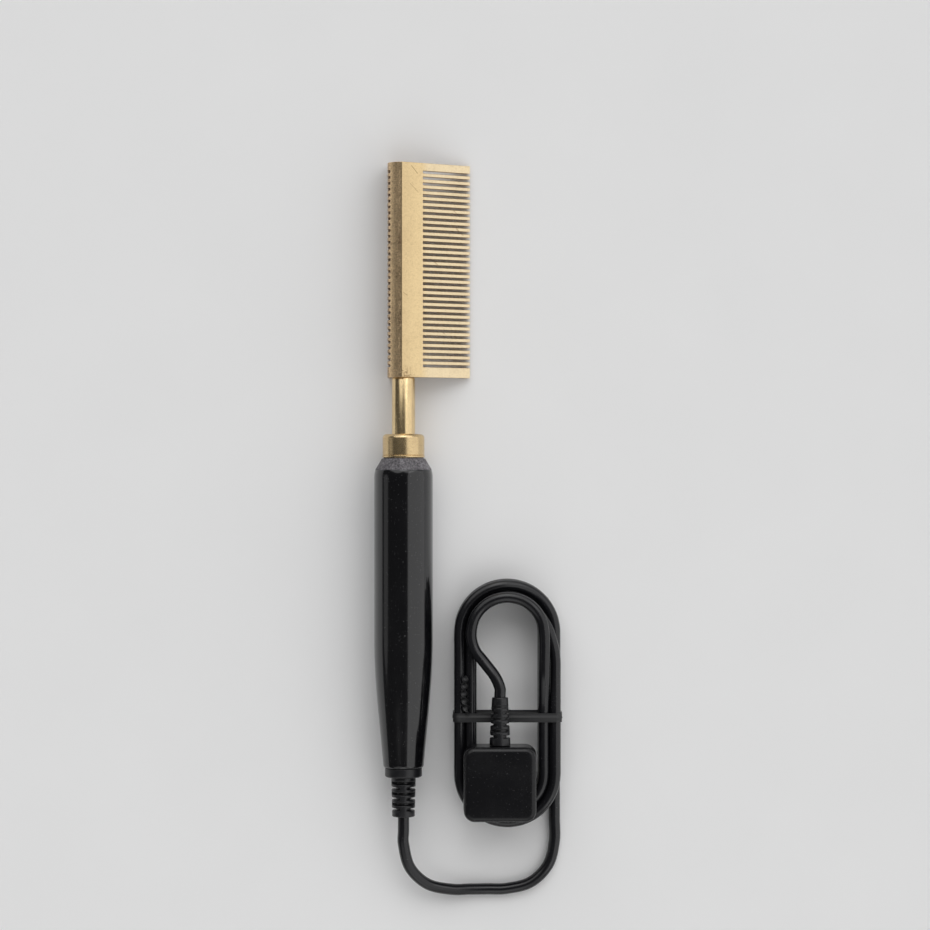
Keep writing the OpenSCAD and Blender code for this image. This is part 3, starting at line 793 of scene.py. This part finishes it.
def slotted_sleeve(length, r_from, r_to, first, pitch, quarter=0, rows=6, width=1.1, depth=1.7, turns=120):
    """Side, up and along offsets of a tapered sleeve with rows of slots cut in from two sides.

    The outline (along, d) goes down d below the tapered surface: into each slot, and down both ends
    to the bore. In a slot the radius is R - w (d / depth) (R - floor). w is 1 along the slot and
    falls smoothly to 0 at the two ribs of its row, where |cos a| goes from 0.42 down to 0.24; a is
    the angle from the middle of the slot. Rows alternate by a quarter turn. Elsewhere the radius
    is R - d. quarter turns the first row.
    """
    centre = first + pitch * np.arange(rows)
    cord_r = 0.5 * CORD_D
    slots = np.stack([
        np.stack([centre - width / 2, 0 * centre], axis=-1),
        np.stack([centre - width / 2 + 0.08, 0 * centre + depth], axis=-1),
        np.stack([centre + width / 2 - 0.08, 0 * centre + depth], axis=-1),
        np.stack([centre + width / 2, 0 * centre], axis=-1),
    ], axis=1).reshape(-1, 2)
    bore = r_from - cord_r
    corners = np.concatenate([[(0, bore), (0, 0)], slots, [(length, 0), (length, bore)]])
    line = soften(corners, [0.1, 0.3] + rows * [0.4, 0.2, 0.2, 0.4] + [0.4, 0.1], 4)
    z, d = line[:, :1], line[:, 1:]
    row = np.clip(np.round((z - first) / pitch), 0, rows - 1)
    in_slot = np.abs(z - centre[row.astype(int)]) < width / 2 + 0.5
    outer = r_from + (r_to - r_from) * z / length
    angle = around(turns)[None, :]
    floor = max(r_to - depth, cord_r + 0.4)
    open_share = smooth((np.abs(np.cos(angle - 0.5 * np.pi * (row + quarter))) - 0.24) / 0.18)
    slot_r = outer - open_share * (d / depth) * (outer - floor)
    radius = np.where(in_slot, slot_r, np.maximum(outer - d, cord_r) + 0 * angle)
    return radius * np.cos(angle), radius * np.sin(angle), z + 0 * angle


x, y, z = slotted_sleeve(SLEEVE_LEN, r_from=5.4, r_to=5.0, first=2.45, pitch=2.33, quarter=1)
piece(
    "cord_sleeve", "swivel", sleeve_black,
    on_axis(x, y, CAP_END + z), quads(*x.shape), ("strain_relief",),
)


# ---- plug ----

def plug_shell():
    """The plug's shell: a rounded rectangle drawn in by an inset that follows its height.

    The inset is a quarter circle of 0.8 at the lower edge, a draft of 0.25 up the sides and a
    quarter circle of 2.2 at the upper edge, and the top is nearly flat. On the two long sides,
    finger ribs are pressed in by 0.55 (1 - cos(2 pi y / 2.4)) / 2, and fade out at their ends.
    """
    dense = soften(PLUG_HALF * [(1, 1), (-1, 1), (-1, -1), (1, -1)], PLUG_CORNER, 10)
    closed = np.concatenate([dense, dense[:1]])
    length = np.concatenate([[0], np.cumsum(np.linalg.norm(np.diff(closed, axis=0), axis=1))])
    at = np.linspace(0, length[-1], 240, endpoint=False)
    edge = np.stack([np.interp(at, length, closed[:, k]) for k in range(2)], axis=-1)
    inner_point = np.clip(edge, PLUG_CORNER - PLUG_HALF, PLUG_HALF - PLUG_CORNER)
    outward = unit(edge - inner_point)
    t = np.linspace(0, 0.5 * np.pi, 7)
    foot = np.stack([PLUG_FOOT * (1 - np.sin(t)), PLUG_FOOT * (1 - np.cos(t))], axis=-1)
    wall = np.stack([np.linspace(0, PLUG_DRAFT, 8), np.linspace(1.0, PLUG_WALL, 8)], axis=-1)
    brow = np.stack([PLUG_DRAFT + PLUG_BROW * (1 - np.cos(t)), PLUG_WALL + PLUG_BROW * np.sin(t)], axis=-1)
    inset, height = np.concatenate([foot, wall, brow[1:], [(3.6, 14.95), (4.9, 14.97)]]).T
    ribs = smooth((9.5 - np.abs(edge[:, 1] + 2)) / 1.5) * smooth((np.abs(outward[:, 0]) - 0.98) / 0.02)
    groove = 0.5 * (1 - np.cos(2 * np.pi * edge[:, 1] / RIB_PITCH))
    band = smooth((height - 1.8) / 1.2) * smooth((12.2 - height) / 1.2)
    press = inset[:, None] + RIB_DEPTH * band[:, None] * (ribs * groove)[None, :]
    shape = inner_point[None] + outward[None] * (PLUG_CORNER - press)[..., None]
    points = np.concatenate([shape, np.broadcast_to(height[:, None, None], (*press.shape, 1))], axis=-1)
    return points + PLUG + [0, PLUG_LEN / 2, 0], capped(*press.shape)


plug_points, plug_faces = plug_shell()
piece("plug_shell", "comb", plug_black, plug_points, plug_faces, ("plug_body",), crease=45.0)
x, z, y = slotted_sleeve(PLUG_SLEEVE_LEN, r_from=4.6, r_to=3.5, first=4.0, pitch=2.6)
piece(
    "plug_sleeve", "comb", sleeve_black,
    np.stack([PLUG[0] + x, PLUG[1] + PLUG_LEN + y, PLUG_AXIS_Z + z], axis=-1), quads(*x.shape),
    ("plug_relief",),
)


# ---- tie ----

def tie_band():
    """The wire tie: a flat strip with a round wire in its middle, carried round the hank.

    The strip is 4 wide and 0.3 thick, and swells to 0.7 over the wire: its sides lie out by
    0.15 + 0.2 w, where w = sqrt(1 - (across / 0.42)^2) over the wire and 0 beside it. The path is
    a rectangle in X and Z with round corners.
    """
    half = HANK_R + 1.5 * CORD_D + WIRE_HALF
    top = 3 * CORD_D + 3 * WIRE_HALF
    path = soften([(half, WIRE_HALF), (half, top), (-half, top), (-half, WIRE_HALF)], TIE_ROUND, 8)
    ahead = unit(np.roll(path, -1, axis=0) - np.roll(path, 1, axis=0))
    out = np.stack([ahead[:, 1], -ahead[:, 0]], axis=-1)
    across = np.array([-TIE_HALF_W, -1.95, -0.5, -0.3, 0, 0.3, 0.5, 1.95, TIE_HALF_W])
    wire = np.where(np.abs(across) < 0.4, np.sqrt(np.maximum(1 - (across / 0.42) ** 2, 0)), 0)
    thick = TIE_HALF + (WIRE_HALF - TIE_HALF) * wire
    strip = np.concatenate([across, across[::-1]])
    level = np.concatenate([thick, -thick[::-1]])
    flat = path[:, None] + out[:, None] * level[None, :, None]
    y = np.broadcast_to(TIE_Y + strip, flat.shape[:2])
    return np.stack([HANK[0] + flat[..., 0], y, flat[..., 1]], axis=-1)


def tie_end():
    """The tie's two ends twisted together: a flat section that turns as it goes, on a low hook.

    For t from 0 to 1 its path is X = 20 - 1.5 sin 2.6 t, Y = the tie's + 1.5 + 17 t and
    Z = 16.6 + 1.1 sin pi t. The section is an ellipse, sqrt(1 - (2 t - 1)^8) times 1.7 by 0.55,
    that makes 2.75 turns.
    """
    t = np.linspace(0, 1, 61)
    x = 20 - 1.5 * np.sin(2.6 * t)
    y = TIE_Y + 1.5 + 17 * t
    z = 16.6 + 1.1 * np.sin(np.pi * t)
    width = 1.7 * np.sqrt(np.clip(1 - (2 * t - 1) ** 8, 0.05, 1))[:, None]
    ring = around(16)
    wide, thick = width * np.cos(ring), 0.55 * np.sin(ring) + 0 * width
    turn = (5.5 * np.pi * t)[:, None]
    side = wide * np.cos(turn) - thick * np.sin(turn)
    up = wide * np.sin(turn) + thick * np.cos(turn)
    return along(np.stack([x, y, z], axis=-1), side, up)


band = tie_band()
piece("hank_tie", "comb", tie_black, band, quads(*band.shape[:2]), ("cord_tie",))
twist = tie_end()
piece("tie_twist", "comb", tie_black, twist, capped(*twist.shape[:2]))


# ---- finishes of the pieces that keep their CAD shape ----

slots = {part["node"]: part["material_slot"] for part in frame["record"]["subparts"]}
for name, node in frame["nodes"].items():
    for held in node.material_slots:
        held.material = finishes[slots[name]]


# ---- floor and light ----

FLOOR_HALF = 12.0  # metres
STUDIO_LIGHT = 0.075


def floor_finish():
    """Plain pale paint with faint wide clouds."""
    s = Shader("floor_paint", Roughness=0.9)
    s.set(Base_Color=s.blend(s.noise(s.millimetres(), 0.02), (0.87, 0.87, 0.87), (0.90, 0.90, 0.90)))
    return s.material


floor_mesh = bpy.data.meshes.new("floor")
floor_corners = [(FLOOR_HALF * a, FLOOR_HALF * b, 0) for a, b in ((-1, -1), (1, -1), (1, 1), (-1, 1))]
floor_mesh.from_pydata(floor_corners, [], [(0, 1, 2, 3)])
floor_mesh.materials.append(floor_finish())
floor = bpy.data.objects.new("floor", floor_mesh)
bpy.context.scene.collection.objects.link(floor)

world = bpy.data.worlds.new("studio")
bpy.context.scene.world = world
world.use_nodes = True
world.node_tree.nodes["Background"].inputs["Color"].default_value = (1.0, 1.0, 1.0, 1.0)
world.node_tree.nodes["Background"].inputs["Strength"].default_value = STUDIO_LIGHT


def lamp(name, lean_x, lean_y, spread, strength):
    """A distant soft lamp, spread degrees wide, that leans from upright towards +X and +Y."""
    data = bpy.data.lights.new(name, "SUN")
    data.angle = np.radians(spread)
    data.energy = strength
    made = bpy.data.objects.new(name, data)
    made.rotation_euler = (np.radians(-lean_y), np.radians(lean_x), 0)
    bpy.context.scene.collection.objects.link(made)


lamp("key_right", lean_x=57, lean_y=0, spread=78, strength=1.14)
for side in (-1, 1):
    lamp("fill_head", lean_x=24 * side, lean_y=48, spread=60, strength=0.90)
    lamp("fill_cord", lean_x=24 * side, lean_y=-48, spread=60, strength=0.42)
lamp("rim_left", lean_x=-72, lean_y=0, spread=20, strength=0.036)

bpy.context.scene.view_settings.view_transform = "Standard"
